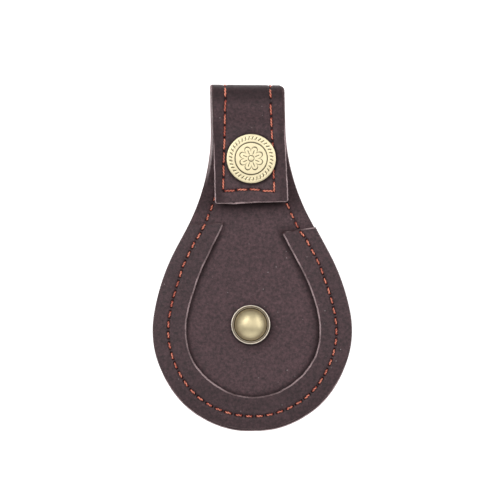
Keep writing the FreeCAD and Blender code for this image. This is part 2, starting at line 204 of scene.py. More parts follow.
def outline(step):
    """Points and outward normals from the neck's right top round the pad to its left top."""
    points, normals = [], []

    def ray(angle):
        return np.stack([np.cos(angle), np.sin(angle)], -1)

    def count(length):
        return max(2, round(length / step))

    def arc(centre, radius, start, end):
        """A negative radius makes a hollow arc, whose normals point at its centre."""
        turns = np.linspace(start, end, count(abs((end - start) * radius)), False)
        points.append(centre + radius * ray(turns))
        normals.append(ray(turns))

    def line(start, facing, run, to_end):
        along = np.linspace(0, run, count(run), to_end)[:, None]
        points.append(start + ray(facing + math.pi / 2) * along)
        normals.append(np.repeat(ray(facing)[None], len(along), 0))

    pad = np.array([0, PAD_Y])
    shoulder = pad - ray(SHOULDER_START) * (SHOULDER_RADIUS - PAD_RADIUS)
    flank_low = shoulder + ray(FLANK_SLOPE) * SHOULDER_RADIUS
    flank_high_x = NECK_HALF + THROAT_RADIUS * (1 - math.cos(FLANK_SLOPE))
    flank_run = (flank_low[0] - flank_high_x) / math.sin(FLANK_SLOPE)
    flank_high = flank_low + ray(FLANK_SLOPE + math.pi / 2) * flank_run
    throat = flank_high + ray(FLANK_SLOPE) * THROAT_RADIUS

    arc(pad, PAD_RADIUS, -math.pi / 2, SHOULDER_START)
    arc(shoulder, SHOULDER_RADIUS, SHOULDER_START, FLANK_SLOPE)
    line(flank_low, FLANK_SLOPE, flank_run, False)
    arc(throat, -THROAT_RADIUS, FLANK_SLOPE, 0)
    line(np.array([NECK_HALF, throat[1]]), 0.0, FOLD_Y - throat[1], True)

    right = np.concatenate(points), np.concatenate(normals)
    return [np.concatenate([half[::-1], half[1:] * [-1, 1]]) for half in right]


def run_along(points):
    """Distance along a line of points, from its start."""
    return np.concatenate([[0], np.cumsum(np.linalg.norm(np.diff(points, axis=0), axis=1))])


def seam_inset(y):
    """The seam's distance from the outline: nearer the edge round the bottom and at the shoulders."""
    bottom = SEAM_SHIFT * ease(-45, -62, y)
    shoulder = SEAM_SHIFT * ease(-9, 1, y) * ease(12.5, 8.5, y)
    return SEAM_INSET - bottom - shoulder


def seam_line(points, normals):
    """The pad's seam in plan, from the outline's points and normals."""
    return points - normals * seam_inset(points[:, 1:])


def stitch_spans(length, pitch, stitch, shift=0.0, wander=0.12):
    """Start and end distances of the stitches along a seam of some length, slightly uneven."""
    count = round(length / pitch)
    step = length / count
    middles = (np.arange(count) + 0.5 + shift) * step
    middles = middles + rng.uniform(-wander, wander, count)
    half = (stitch + rng.uniform(-wander, wander, count)) / 2
    inside = (middles - half > 0) & (middles + half < length)
    return np.stack([middles - half, middles + half], -1)[inside]


SEAM_LINE = seam_line(*outline(0.1))
SEAM_RUN = run_along(SEAM_LINE)
FRONT_SPANS = stitch_spans(SEAM_RUN[-1], SEAM_PITCH, SEAM_STITCH)
BACK_SPANS = stitch_spans(SEAM_RUN[-1], SEAM_PITCH, SEAM_STITCH, 0.5)


def on_seam(distance):
    """Plan points of the pad seam at distances along it."""
    x = np.interp(distance, SEAM_RUN, SEAM_LINE[:, 0])
    y = np.interp(distance, SEAM_RUN, SEAM_LINE[:, 1])
    return np.stack([x, y], -1)


def is_on_rim(x, y):
    """True where the rim covers the front panel, by the two lines that its ends are cut to."""
    right_end = RIM_END_RIGHT + x * math.tan(RIM_END_RIGHT_TILT)
    return y < np.where(x > 0, right_end, RIM_END_LEFT)


# --- Materials ---


class Nodes:
    """Short names for building one material's nodes. Noise and cells repeat per millimetre."""

    def __init__(self, name):
        self.material = bpy.data.materials.new(name)
        self.material.use_nodes = True
        self.tree = self.material.node_tree
        self.shader = self.tree.nodes["Principled BSDF"]
        self.place = self.add("ShaderNodeTexCoord", {}, "Object")

    def plug(self, value, socket):
        """Gives a socket a number or a colour, or links another node's output to it."""
        if isinstance(value, tuple):
            socket.default_value = (*value, 1)
        elif isinstance(value, (int, float)):
            socket.default_value = value
        else:
            self.tree.links.new(value, socket)

    def add(self, kind, inputs, output, **settings):
        """A new node's output."""
        node = self.tree.nodes.new(kind)
        for key, value in settings.items():
            setattr(node, key, value)
        for key, value in inputs.items():
            self.plug(value, node.inputs[key])
        return node.outputs[output]

    def noise(self, per_mm, detail, rough, distortion=0.0):
        inputs = {"Vector": self.place, "Scale": per_mm / MM, "Detail": detail}
        inputs.update({"Roughness": rough, "Distortion": distortion})
        return self.add("ShaderNodeTexNoise", inputs, "Fac")

    def cells(self, per_mm, feature="F1"):
        inputs = {"Vector": self.place, "Scale": per_mm / MM}
        return self.add("ShaderNodeTexVoronoi", inputs, "Distance", feature=feature)

    def ramp(self, value, stops):
        """Colour ramp; stops are (position, colour) with linear colours or plain greys."""
        colours = self.add("ShaderNodeValToRGB", {"Fac": value}, "Color")
        elements = colours.node.color_ramp.elements
        while len(elements) < len(stops):
            elements.new(0.5)
        for element, (position, colour) in zip(elements, stops):
            element.position = position
            element.color = (*colour, 1) if isinstance(colour, tuple) else (colour, colour, colour, 1)
        return colours

    def spread(self, value, low, high, from_low=0.0, from_high=1.0):
        inputs = {"Value": value, "From Min": from_low, "From Max": from_high}
        inputs.update({"To Min": low, "To Max": high})
        return self.add("ShaderNodeMapRange", inputs, "Result")

    def math(self, operation, first, second):
        return self.add("ShaderNodeMath", {0: first, 1: second}, "Value", operation=operation)

    def mix(self, factor, first, second, blend="MIX"):
        inputs = {0: factor, 6: first, 7: second}
        return self.add("ShaderNodeMix", inputs, 2, data_type="RGBA", blend_type=blend)

    def bump(self, height, depth_mm, before=None):
        inputs = {"Distance": depth_mm * MM, "Height": height}
        if before is not None:
            inputs["Normal"] = before
        return self.add("ShaderNodeBump", inputs, "Normal")

    def attribute(self, name):
        return self.add("ShaderNodeAttribute", {}, "Fac", attribute_name=name)

    def set(self, **values):
        """Sets the shader's own sockets, named with underscores."""
        for key, value in values.items():
            self.plug(value, self.shader.inputs[key.replace("_", " ").title().replace("Ior", "IOR")])


# Linear colours
LEATHER_COLOUR = (0.053, 0.0255, 0.0300)
DUST = (0.27, 0.225, 0.23)
RAW_DULL = (0.34, 0.27, 0.275)
RAW_PALE = (0.62, 0.52, 0.53)
# The painted shade inside the needle holes.
HOLE_PAINTED_SHADE = (0.006, 0.002, 0.002)
# Thread colours: a painted shade, the thread's own rust red, and a painted highlight.
THREAD_PAINTED_SHADE = (0.05, 0.006, 0.006)
THREAD_RUST = (0.36, 0.060, 0.040)
THREAD_PAINTED_HIGHLIGHT = (0.90, 0.33, 0.215)


def scaled(colour, factor):
    return tuple(c * factor for c in colour)


def leather(name, colour, pebble, rough):
    """Mottled, speckled leather with a pebble grain of some strength. It is darker and less shiny where
    its painted-shade value says so, which holds painted shade and, on the rim and the strap's margins, a
    darker tone; pale where "raw" does; and painted nearly black in a needle "hole", as the shade inside
    it."""
    n = Nodes(name)
    mottle = n.noise(0.06, 4, 0.6)
    speckle = n.noise(0.9, 4, 0.75)
    base = n.ramp(mottle, [(0.3, scaled(colour, 0.92)), (0.7, scaled(colour, 1.09))])
    base = n.mix(1.0, base, n.ramp(speckle, [(0.35, 0.44), (0.65, 1.56)]), "MULTIPLY")
    dust = n.spread(n.cells(0.28), 0.9, 0.0, 0.03, 0.08)
    dust = n.math("MULTIPLY", dust, n.spread(mottle, 0.0, 1.0, 0.40, 0.55))
    base = n.mix(dust, base, DUST)
    # Painted shade: darker where the painted-shade value is high.
    base = n.mix(n.attribute("painted_shade_and_dark_tone"), base, scaled(colour, 0.25))
    base = n.mix(n.attribute("raw"), base, n.mix(speckle, RAW_DULL, RAW_PALE))
    # Painted shade: nearly black in the needle holes.
    n.set(base_color=n.mix(n.attribute("hole"), base, HOLE_PAINTED_SHADE))
    normal = n.bump(n.cells(1.1, "SMOOTH_F1"), 0.16 * pebble)
    normal = n.bump(n.noise(0.5, 5, 0.65, 0.6), 0.12, normal)
    n.set(normal=n.bump(n.noise(4.5, 2, 0.6), 0.05, normal))
    n.set(roughness=n.spread(n.noise(0.35, 4, 0.6), rough - 0.07, rough + 0.09))
    # Less shine where the painted shade is.
    n.set(specular_ior_level=n.spread(n.attribute("painted_shade_and_dark_tone"), 0.42, 0.12))
    return n.material


def cut_edge():
    """Cut leather: dyed dark, or pale and fibrous where the value "pale" says it was left raw."""
    n = Nodes("cut_edge")
    fibres = n.noise(3.0, 5, 0.75)
    patches = n.noise(0.3, 4, 0.65)
    raw = n.ramp(fibres, [(0.3, (0.20, 0.135, 0.14)), (0.62, (0.56, 0.42, 0.43))])
    dyed = n.ramp(fibres, [(0.3, (0.016, 0.008, 0.009)), (0.7, (0.060, 0.028, 0.030))])
    share = n.math("MULTIPLY", n.attribute("pale"), n.spread(patches, 1.0, 0.5, 0.42, 0.68))
    n.set(base_color=n.mix(share, dyed, raw))
    n.set(normal=n.bump(fibres, 0.12), roughness=0.82, specular_ior_level=0.2)
    return n.material


def thread():
    """Waxed thread: rust red, with a painted highlight on its crown and painted shade down its sides and
    where it dives into the hole.
    """
    n = Nodes("thread")
    # Painted light by height: dark low down and at the sides, pale on top.
    colour = n.ramp(n.attribute("crown"), [(0.3, THREAD_PAINTED_SHADE), (0.66, THREAD_RUST), (1.0, THREAD_PAINTED_HIGHLIGHT)])
    fuzz = n.ramp(n.noise(1.6, 3, 0.7), [(0.32, 0.62), (0.68, 1.25)])
    n.set(base_color=n.mix(1.0, colour, fuzz, "MULTIPLY"))
    n.set(normal=n.bump(n.noise(6.0, 2, 0.6), 0.03), roughness=0.55, specular_ior_level=0.35)
    return n.material


def brass(name, colour, rough, patina=(0.10, 0.075, 0.035)):
    """Aged brass: satin metal, uneven in colour and shine, darkened where its hollow value says so: dark
    patina in its hollows, a darker lower half on the cap's top, and a painted contact shadow at the
    collar's foot.
    """
    n = Nodes(name)
    tarnish = n.ramp(n.noise(0.35, 5, 0.65), [(0.3, scaled(colour, 0.86)), (0.7, colour)])
    hollow = n.spread(n.attribute("hollow"), 0.0, 1.0)
    n.set(base_color=n.mix(hollow, tarnish, patina))
    shine = n.spread(n.noise(0.8, 5, 0.7), rough - 0.06, rough + 0.10)
    n.set(roughness=n.math("ADD", shine, n.math("MULTIPLY", hollow, 0.3)))
    n.set(metallic=1.0, normal=n.bump(n.noise(3.5, 3, 0.6), 0.012))
    return n.material


GRAIN = leather("leather_grain", scaled(LEATHER_COLOUR, 1.08), 1.0, 0.56)
SMOOTH = leather("leather_smooth", scaled(LEATHER_COLOUR, 0.84), 0.45, 0.54)
STRAP = leather("leather_strap", scaled(LEATHER_COLOUR, 0.95), 0.45, 0.52)
FLESH = leather("leather_flesh", scaled(LEATHER_COLOUR, 1.25), 0.7, 0.72)
CUT_EDGE = cut_edge()
THREAD = thread()
CAP_BRASS = brass("cap_brass", (0.94, 0.83, 0.55), 0.36, (0.045, 0.032, 0.014))
DOME_BRASS = brass("dome_brass", (0.71, 0.61, 0.38), 0.43)
COLLAR_BRASS = brass("collar_brass", (0.86, 0.77, 0.66), 0.34, (0.065, 0.042, 0.012))
REAR_BRASS = brass("rear_brass", (0.55, 0.45, 0.26), 0.34)
SNAP_BRASS = brass("snap_brass", (0.62, 0.52, 0.32), 0.28)
SPRING_STEEL = brass("spring_steel", (0.60, 0.60, 0.60), 0.25)


# --- Panels ---

def edge_profile(low, high):
    """(inset, z) points round a leather edge from the lower face to the upper one."""
    radius = EDGE_ROUND
    angles = np.linspace(-math.pi / 2, 0, 5)
    lower = [(radius - radius * math.cos(a), low + radius + radius * math.sin(a)) for a in angles]
    upper = [(inset, low + high - z) for inset, z in reversed(lower)]
    return np.array(lower + upper)


def hole_dips(distance, spans, width=0.6):
    """1 at the ends of the stitches and 0 away from them, for distances along a seam."""
    ends = np.sort(spans.ravel())
    place = np.searchsorted(ends, distance)
    below = ends[np.clip(place - 1, 0, len(ends) - 1)]
    above = ends[np.clip(place, 0, len(ends) - 1)]
    nearest = np.minimum(np.abs(distance - below), np.abs(above - distance))
    return np.clip(1 - (nearest / width) ** 2, 0, 1) ** 2


def seam_dent(distance, offset, spans, groove=0.22, dip=0.6):
    """How far a seam pulls the leather down, from the distance along it and across from it."""
    return groove * bump_at(offset, 0, 1.3) + dip * hole_dips(distance, spans) * bump_at(offset, 0, 0.7)


def hole_shade_value(distance, offset, spans):
    """Painted shade in a needle hole: how dark it makes the leather, for its material."""
    return 0.9 * hole_dips(distance, spans, 0.55) * bump_at(offset, 0, 0.62)


# Closest together at the seam and beside the rim
BAND_INSETS = np.array([
    0.7, 1.4, 2.6, 4.0, 4.7, 5.05, 5.3, 5.55, 5.8, 6.05, 6.3, 6.55, 6.9, 7.8,
    9.4, 11.0, 12.0, 12.6, 13.1, 13.7, 14.5,
])


def wall_columns(count, walls, *starts):
    """True for the columns of a section that lie on its cut edges."""
    column = np.arange(count)
    return np.any([(column >= start) & (column < start + walls) for start in starts], 0)


def panel(name, low, high, upper_face, lower_face, bulge, pale, leather_face, across=60):
    """Closed pear-shaped panel: a band that follows the outline, and rows that join its two sides."""
    points, normals = outline(0.4)
    run = run_along(seam_line(points, normals))
    bulged = bulge(points[:, 0], points[:, 1])[:, None]
    half = np.arange(len(points) // 2, len(points))
    edge = edge_profile(low, high)
    band = len(BAND_INSETS)
    insets = np.concatenate([BAND_INSETS[::-1], edge[:, 0], BAND_INSETS])
    levels = np.concatenate([np.full(band, low), edge[:, 1], np.full(band, high)])
    faces = ((slice(0, band), lower_face), (slice(-band, None), upper_face))

    def side(k, mirror):
        """x, y, z and hole value of the band on one side: up the lower face and in over the upper."""
        base, normal = points[k] * [mirror, 1], normals[k] * [mirror, 1]
        inset = insets - bulged[k] * np.clip((insets - 9) / -3, 0, 1)
        x = base[:, :1] - normal[:, :1] * inset
        y = base[:, 1:] - normal[:, 1:] * inset
        distance = run[k] if mirror == 1 else run[-1] - run[k]
        distance = np.broadcast_to(distance[:, None], x.shape)
        offset = inset - seam_inset(base[:, 1:])
        z, hole = np.broadcast_to(levels, x.shape).copy(), np.zeros(x.shape)
        for part, face in faces:
            relief, depth = face(x[:, part], y[:, part], distance[:, part], offset[:, part])
            z[:, part] += relief
            hole[:, part] = depth
        return np.stack([x, y, z, hole], -1)

    left, right = side(half, 1), side(half, -1)
    q = np.linspace(-1, 1, across + 1)[1:-1]
    t = ((0.35 * q + 0.65 * q**3 + 1) / 2)[None, :, None]

    def middle(level, face, column):
        """The same between the two sides, far from the seam."""
        plan = right[:, column, None, :2] * (1 - t) + left[:, column, None, :2] * t
        far = np.full(plan.shape[:2], 99.0)
        relief, hole = face(plan[..., 0], plan[..., 1], 0 * far, far)
        return np.concatenate([plan, (level + relief)[..., None], hole[..., None]], -1)

    top = middle(high, upper_face, -1)
    bottom = middle(low, lower_face, 0)[:, ::-1]
    sections = np.concatenate([right, top, left[:, ::-1], bottom], 1)
    second = 3 * band + len(edge) + t.size
    on_edge = wall_columns(sections.shape[1], len(edge) - 1, band, second)
    x, y, on_top = sections[..., 0], sections[..., 1], sections[..., 2] > BODY - 0.5
    near = from_outline(x, y)
    marks = {"hole": sections[..., 3], "pale": pale(x, y)}
    # Painted shade on the front's upper face.
    marks["painted_shade_and_dark_tone"] = painted_shade_on_front(x, y, near) * on_top
    marks["raw"] = ease(1.2, 0.7, near) * ease(28, 42, y) * (x < 0) * on_top
    return loft(name, sections[..., :3], [leather_face, CUT_EDGE], on_edge, **marks)


def from_outline(x, y):
    """Distance of points inside the outline from it."""
    near = np.full(np.shape(x), np.inf)
    for edge_x, edge_y in outline(1.0)[0]:
        near = np.minimum(near, np.hypot(x - edge_x, y - edge_y))
    return near


def painted_shade_on_front(x, y, near):
    """Painted shade on the front: a painted shadow at and below the strap's end, along the rim's inner
    edge, and round the stud's collar, most to its lower right.
    """
    # Painted shade near the strap's end: wide and soft, then a deep painted shadow just below the end,
    # across the strap's width.
    under = 0.4 * ease(STRAP_END - 8, STRAP_END + 1.0, y)
    across = ease(-14.5, -9.5, x) * ease(16.5, 11.5, x)
    under = under + 0.65 * bump_at(y, STRAP_END - 0.2, 3.2) * across
    # Painted shadow round the stud's collar, falling to its lower right.
    from_stud = np.hypot(x - STUD[0] - 0.45, y - STUD[1] + 0.5)
    stud_shadow = 0.8 * ease(COLLAR_RADIUS + 1.6, COLLAR_RADIUS - 0.2, from_stud)
    from_shade = np.hypot(x - STUD[0] - 1.3, y - STUD[1] + 1.5)
    stud_shadow = np.maximum(stud_shadow, 0.5 * ease(COLLAR_RADIUS + 3.2, COLLAR_RADIUS - 1.0, from_shade))
    # Painted shadow along the rim's inner edge.
    rim_edge_shadow = 0.8 * ease(RIM_WIDTH + 2.3, RIM_WIDTH - 0.2, near)
    rim_edge_shadow = rim_edge_shadow * ease(RIM_END_LEFT + 0.5, RIM_END_RIGHT - 2, y)
    return np.clip(np.maximum.reduce([under, stud_shadow, rim_edge_shadow]), 0, 1)


def seat_face(x, y, distance, offset):
    """The front panel's visible face: slack hollows and swells, pressed down round the metal."""
    stud = np.hypot(x - STUD[0], y - STUD[1])
    snap = np.hypot(x - SNAP[0], y - SNAP[1])
    pressed = 0.12 * (1 - ease(7.6, 10.5, stud)) + 0.1 * (1 - ease(5.2, 8.0, snap))
    swell = 0.10 * wave(x, y, 17, 3.0) + 0.04 * wave(x, y, 5, 8.0) - 0.06
    bare = ~is_on_rim(x, y)
    relief = swell * ease(1.0, 4.0, offset + SEAM_INSET) - pressed
    relief = relief - seam_dent(distance, offset, FRONT_SPANS) * bare
    return relief, hole_shade_value(distance, offset, FRONT_SPANS) * bare


def rear_face(x, y, distance, offset):
    """The rear face: let in for the two rivet heads and pulled up along the seam."""
    recess = np.zeros(np.shape(x))
    for centre in (STUD, SNAP):
        reach = np.hypot(x - centre[0], y - centre[1])
        recess = recess + 0.62 * (1 - ease(REAR_HEAD + 0.1, REAR_HEAD + 0.9, reach))
    relief = recess + seam_dent(distance, offset, BACK_SPANS, 0.45, 0.5)
    return relief, hole_shade_value(distance, offset, BACK_SPANS)


def hidden_face(x, *place):
    """A face that lies against another layer: flat and unmarked."""
    return 0 * x, 0 * x


def no_bulge(x, y):
    return 0 * x


def rear_bulge(x, y):
    """The rear panel was cut a little larger round the bottom, so its edge shows past the rim."""
    return 1.1 * ease(-34, -58, y) * (0.8 + 0.4 * wave(x, y, 22, 15.0))


def rear_pale(x, y):
    """The rear panel's edge is raw, and most so at the neck and round the bottom."""
    return 0.5 + 0.5 * ease(25, 45, y) + 0.5 * ease(-35, -52, y)


def front_pale(x, y):
    """The front panel's edge is dyed but for the neck, more so on its right."""
    return (0.75 - 0.015 * x) * ease(28, 46, y) + 0.08


def dress(obj, body, slot, *nodes):
    """The usual two calls for a piece that stands for CAD nodes: attach it to its body and hide those
    nodes.
    """
    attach(obj, body)
    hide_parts(*nodes)


def bend(obj, node):
    """For a piece at the fold, where the strip bends between the pad and the strap: bakes its place into
    its points and hides its CAD node.
    """
    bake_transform(obj)
    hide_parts(node)


def make_panels():
    levels = BACK_LOW[2], BACK_HIGH[2]
    back = panel("back_panel", *levels, hidden_face, rear_face, rear_bulge, rear_pale, SMOOTH)
    dress(back, "pad", "leather", "back_leather")
    levels = FRONT_LOW[2], FRONT_HIGH[2]
    front = panel("front_panel", *levels, seat_face, hidden_face, no_bulge, front_pale, GRAIN)
    dress(front, "pad", "leather", "front_leather")


# --- Rim ---

RIM_ACROSS = np.concatenate([
    np.linspace(0.0, 0.5, 5),
    np.linspace(0.8, 5.2, 11),
    np.linspace(5.35, 7.15, 13),
    np.linspace(7.6, 12.05, 11),
    np.linspace(12.25, RIM_WIDTH, 5),
])
RIM_ROWS = 720


def rim_lift(across, x, y):
    """The unsewn inner edge stands off the panel, more in some places than in others."""
    loose = np.clip(0.18 + 0.14 * wave(x, y, 14, 31.0), 0.02, None)
    return loose * ease(7.5, RIM_WIDTH, across)


def rim_height(across, from_seam, distance, x, y):
    """Height of the rim's upper face: worn down to its outer edge, lifting at its inner one."""
    slope = 0.62 * (1 - ease(-2.0, 5.0, across))
    outer_round = 0.45 * np.clip(1 - across / 0.5, 0, 1) ** 2
    inner_round = 0.34 * np.clip((across - RIM_WIDTH + 0.6) / 0.6, 0, 1) ** 2
    swell = 0.06 * wave(x, y, 9, 21.0) + 0.03 * wave(x, y, 3, 25.0)
    dent = seam_dent(distance, from_seam, FRONT_SPANS, 0.30)
    return RIM_TOP - slope - outer_round - inner_round + rim_lift(across, x, y) + swell - dent


def rim_pale(x, y, to_end):
    """How raw the rim's cut edges look: the inner one most on the right, which is partly its raw edge
    and partly a painted highlight of light from the left; the ends only in part.
    """
    # Paler on the right: partly the raw edge, partly a painted highlight.
    inner = 0.80 + 0.20 * ease(-8, 14, x) * ease(-45, -20, y) - 0.4 * ease(-46, -62, y)
    inner = inner + 0.35 * wave(x, y, 6, 91.0)
    end = 0.12 + 0.6 * ease(20.5, 23, x) + 0.2 * wave(x, y, 2, 95.0)
    return np.clip(inner + (end - inner) * ease(1.2, 0.6, to_end), 0, 1)


def rim_ends(points, normals, inset):
    """Where a line at an inset from the outline meets the rim's two cut ends, as point numbers."""
    line = points - normals * inset
    middle = len(points) // 2
    over_right = line[:middle, 1] - line[:middle, 0] * math.tan(RIM_END_RIGHT_TILT) - RIM_END_RIGHT
    over_left = line[middle:, 1] - RIM_END_LEFT
    right = np.interp(0, -over_right, np.arange(middle))
    left = middle + np.interp(0, over_left, np.arange(len(over_left)))
    return right, left


def make_rim():
    points, normals = outline(0.1)
    number = np.arange(len(points))

    def at(place, values):
        return np.interp(place, number, values)

    ends = np.array([rim_ends(points, normals, across - RIM_PROUD) for across in RIM_ACROSS])
    length = run_along(points)[-1] * (ends[0, 1] - ends[0, 0]) / len(points)
    tip = np.linspace(0, 0.6, 6) / length
    between = np.linspace(0.9 / length, 1 - 0.9 / length, RIM_ROWS)
    t = np.concatenate([tip, between, 1 - tip[::-1]])[:, None]
    place = ends[:, 0] * (1 - t) + ends[:, 1] * t
    base_x, base_y = at(place, points[:, 0]), at(place, points[:, 1])
    normal_x, normal_y = at(place, normals[:, 0]), at(place, normals[:, 1])
    proud = RIM_PROUD * (1 - 0.8 * ease(-34, -58, base_y)) * ease(0, 14, (1 - t) * length)
    ragged = 0.12 * wave(base_x, base_y, 6, 41.0) + 0.06 * wave(base_x, base_y, 1.3, 44.0)
    inset = RIM_ACROSS * (RIM_WIDTH - RIM_PROUD + proud) / RIM_WIDTH - proud
    wide = 0.5 * ease(0, -30, base_x) * ease(10, -10, base_y)
    wide = wide + 0.5 * ease(-45, -62, base_y)
    inset = inset + (ragged + wide) * ease(8, RIM_WIDTH, RIM_ACROSS)
    x, y = base_x - normal_x * inset, base_y - normal_y * inset
    distance = at(place, SEAM_RUN)
    to_end = np.minimum(t, 1 - t) * length
    bevel = 0.6 * np.clip(1 - to_end / 0.5, 0, 1) ** 1.5
    from_seam = inset - seam_inset(base_y)
    top = rim_height(RIM_ACROSS, from_seam, distance, x, y) - bevel
    hole = hole_shade_value(distance, from_seam, FRONT_SPANS)
    upper = np.stack([x, y, top, hole], -1)
    lower = np.stack([x, y, BODY + rim_lift(RIM_ACROSS, x, y), 0 * x], -1)[:, ::-4]
    steps = np.array([0.25, 0.5, 0.75])[None, :, None]
    inner_wall = upper[:, -1:] * (1 - steps) + lower[:, :1] * steps
    outer_wall = lower[:, -1:] * (1 - steps) + upper[:, :1] * steps
    foot = np.array([0.05, 0.10, 0.12])[None, :]
    inner_wall[..., 0] -= normal_x[:, -1:] * foot
    inner_wall[..., 1] -= normal_y[:, -1:] * foot
    sections = np.concatenate([upper, inner_wall, lower, outer_wall], 1)
    inner, outer = len(RIM_ACROSS), len(RIM_ACROSS) + inner_wall.shape[1] + lower.shape[1] - 1
    kinds = np.zeros((len(t) - 1, sections.shape[1]), int)
    for columns in (slice(0, 3), slice(inner - 4, inner + 3), slice(outer, None)):
        kinds[:, columns] = 1
    kinds[:4] = 1
    kinds[-4:] = 1
    pale = rim_pale(sections[..., 0], sections[..., 1], to_end)
    pale[:, outer:] *= 0.2
    pale[:, :4] *= 0.2
    marks = {"hole": sections[..., 3], "pale": pale}
    # The rim is darker towards the bottom.
    marks["painted_shade_and_dark_tone"] = 0.16 * ease(-38, -56, sections[..., 1])
    rim = loft("rim", sections[..., :3], [SMOOTH, CUT_EDGE], kinds, 1, **marks)
    dress(rim, "pad", "leather", "rim_leather")


# --- Folded strip: the turn at the neck's end and the strap ---

FOLD_MID = FOLD_INNER + PANEL
FOLD_RUN = math.pi * FOLD_MID
DROP = FOLD_OUTER + FOLD_INNER - STRAP_UNDER
DROP_RADIUS = (DROP_RUN**2 + DROP**2) / (4 * DROP)
DROP_TURN = math.asin(DROP_RUN / (2 * DROP_RADIUS))
FLAT_START = FOLD_RUN + 2 * DROP_TURN * DROP_RADIUS
STRAP_CORNER = 1.1
END_BEVEL = 0.5
END_EXTRA = 0.2
FOLD_LEAN = 0.15
STRIP_RUN = FLAT_START + FOLD_Y - DROP_RUN - STRAP_END + END_EXTRA
ROW_RUN = FLAT_START + FOLD_Y - DROP_RUN - STRAP_ROW_Y


def strip_frame(v):
    """Middle surface of the strip at distances from the neck: y, z and its outward normal's y, z."""
    v = np.asarray(v, float)
    turn = v / FOLD_MID - math.pi / 2
    first = np.clip((v - FOLD_RUN) / DROP_RADIUS, 0, DROP_TURN)
    second = np.clip((FLAT_START - v) / DROP_RADIUS, 0, DROP_TURN)
    crest, trough = FOLD_Z + FOLD_MID, FOLD_Z + FOLD_MID - DROP
    places = [v < FOLD_RUN, v < (FOLD_RUN + FLAT_START) / 2, v < FLAT_START]
    y = np.select(places, [
        FOLD_Y + FOLD_MID * np.cos(turn),
        FOLD_Y - DROP_RADIUS * np.sin(first),
        FOLD_Y - DROP_RUN + DROP_RADIUS * np.sin(second),
    ], FOLD_Y - DROP_RUN - (v - FLAT_START))
    z = np.select(places, [
        FOLD_Z + FOLD_MID * np.sin(turn),
        crest - DROP_RADIUS * (1 - np.cos(first)),
        trough + DROP_RADIUS * (1 - np.cos(second)),
    ], trough)
    tilt = np.select(places, [turn - math.pi / 2, first, second], 0.0)
    return y, z, -np.sin(tilt), np.cos(tilt)


def on_strip(x, v, off):
    """Points of the strip from x, distance along it and distance off its middle surface."""
    y, z, normal_y, normal_z = strip_frame(v)
    x, y, z = np.broadcast_arrays(x, y + normal_y * off, z + normal_z * off)
    lean = FOLD_LEAN * (x / NECK_HALF + 1) / 2
    return np.stack([x, np.where(y > FOLD_Y, FOLD_Y + (y - FOLD_Y) * (1 - lean), y), z], -1)


def strip_edges(v):
    """The strip's left and right edges: the neck's width, then narrower; cut in at the crest's right."""
    turned = ease(3.2, 7.4, v)
    turned_left = ease(5.6, 8.6, v)
    down = (v - FOLD_RUN) / (STRIP_RUN - FOLD_RUN)
    wobble = 0.10 * wave(0 * v, v, 8, 51.0) * turned
    left = np.interp(down, [-0.2, 0, 0.3, 0.6, 1], [-14.1, -14.0, -14.0, -13.95, -13.85])
    right = np.interp(down, [-0.2, 0, 0.25, 0.5, 1], [13.9, 14.2, 14.75, 14.95, 15.5])
    right = right - 1.2 * np.clip(1 - np.abs(v - FOLD_RUN / 2) / 3.2, 0, 1)
    left = -NECK_HALF + turned_left * (left + NECK_HALF)
    return left + wobble, NECK_HALF - turned * (NECK_HALF - right) - wobble


def strip_rows(v):
    """Where the seam's left and right rows cross the strip at a distance along it."""
    down = np.clip((v - FOLD_RUN) / (ROW_RUN - FOLD_RUN), 0, 1.2)
    left = -SEAM_X + 0.4 * ease(0, FOLD_RUN, v) + (STRAP_ROW_LEFT + SEAM_X - 0.4) * down
    right = SEAM_X + (STRAP_ROW_RIGHT - SEAM_X) * down
    return left, right


# Start and end of each stitch along its row
LEFT_FOLD_SPANS = np.array([0.0, 4.2]) + [[0.15], [4.9], [9.6]]
RIGHT_FOLD_SPANS = np.array([0.0, 3.9]) + [[1.2], [5.9], [10.5]]
LEFT_SPANS = FOLD_RUN + stitch_spans(ROW_RUN - FOLD_RUN, STRAP_PITCH, STRAP_STITCH)
RIGHT_SPANS = FOLD_RUN + 1.75 + stitch_spans(ROW_RUN - FOLD_RUN, STRAP_PITCH, STRAP_STITCH - 0.4)
ROW_SPANS = STRAP_ROW_LEFT + stitch_spans(ROW_LENGTH, ROW_PITCH, 4.5)
INSIDE_SPANS = FOLD_RUN + stitch_spans(ROW_RUN - FOLD_RUN, STRAP_PITCH, STRAP_STITCH, 0.5)
INSIDE_ROW_SPANS = STRAP_ROW_LEFT + stitch_spans(ROW_LENGTH, ROW_PITCH, 3.9, 0.5)
ROW_OFFSETS = np.array([-1.4, -1.0, -0.7, -0.5, -0.32, -0.16, 0.0, 0.16, 0.32, 0.5, 0.7, 1.0, 1.4])


def strip_columns(v, margin):
    """x of every column at distances along the strip, from its left edge to its right one."""
    left, right = strip_edges(v)
    row_left, row_right = strip_rows(v)
    return np.concatenate([
        np.linspace(left + margin, row_left - 1.8, 8),
        row_left + ROW_OFFSETS[:, None],
        np.linspace(row_left + 1.9, row_right - 1.9, 28),
        row_right + ROW_OFFSETS[:, None],
        np.linspace(row_right + 1.8, right - margin, 8),
    ]).T


def row_wander(x):
    """The bottom row was sewn by hand and isn't straight."""
    return np.interp(x, [-10.5, -5.8, -0.6, 4.1, 5.7, 9.9], [0.35, 0.0, -0.25, -0.1, 0.75, 0.8])


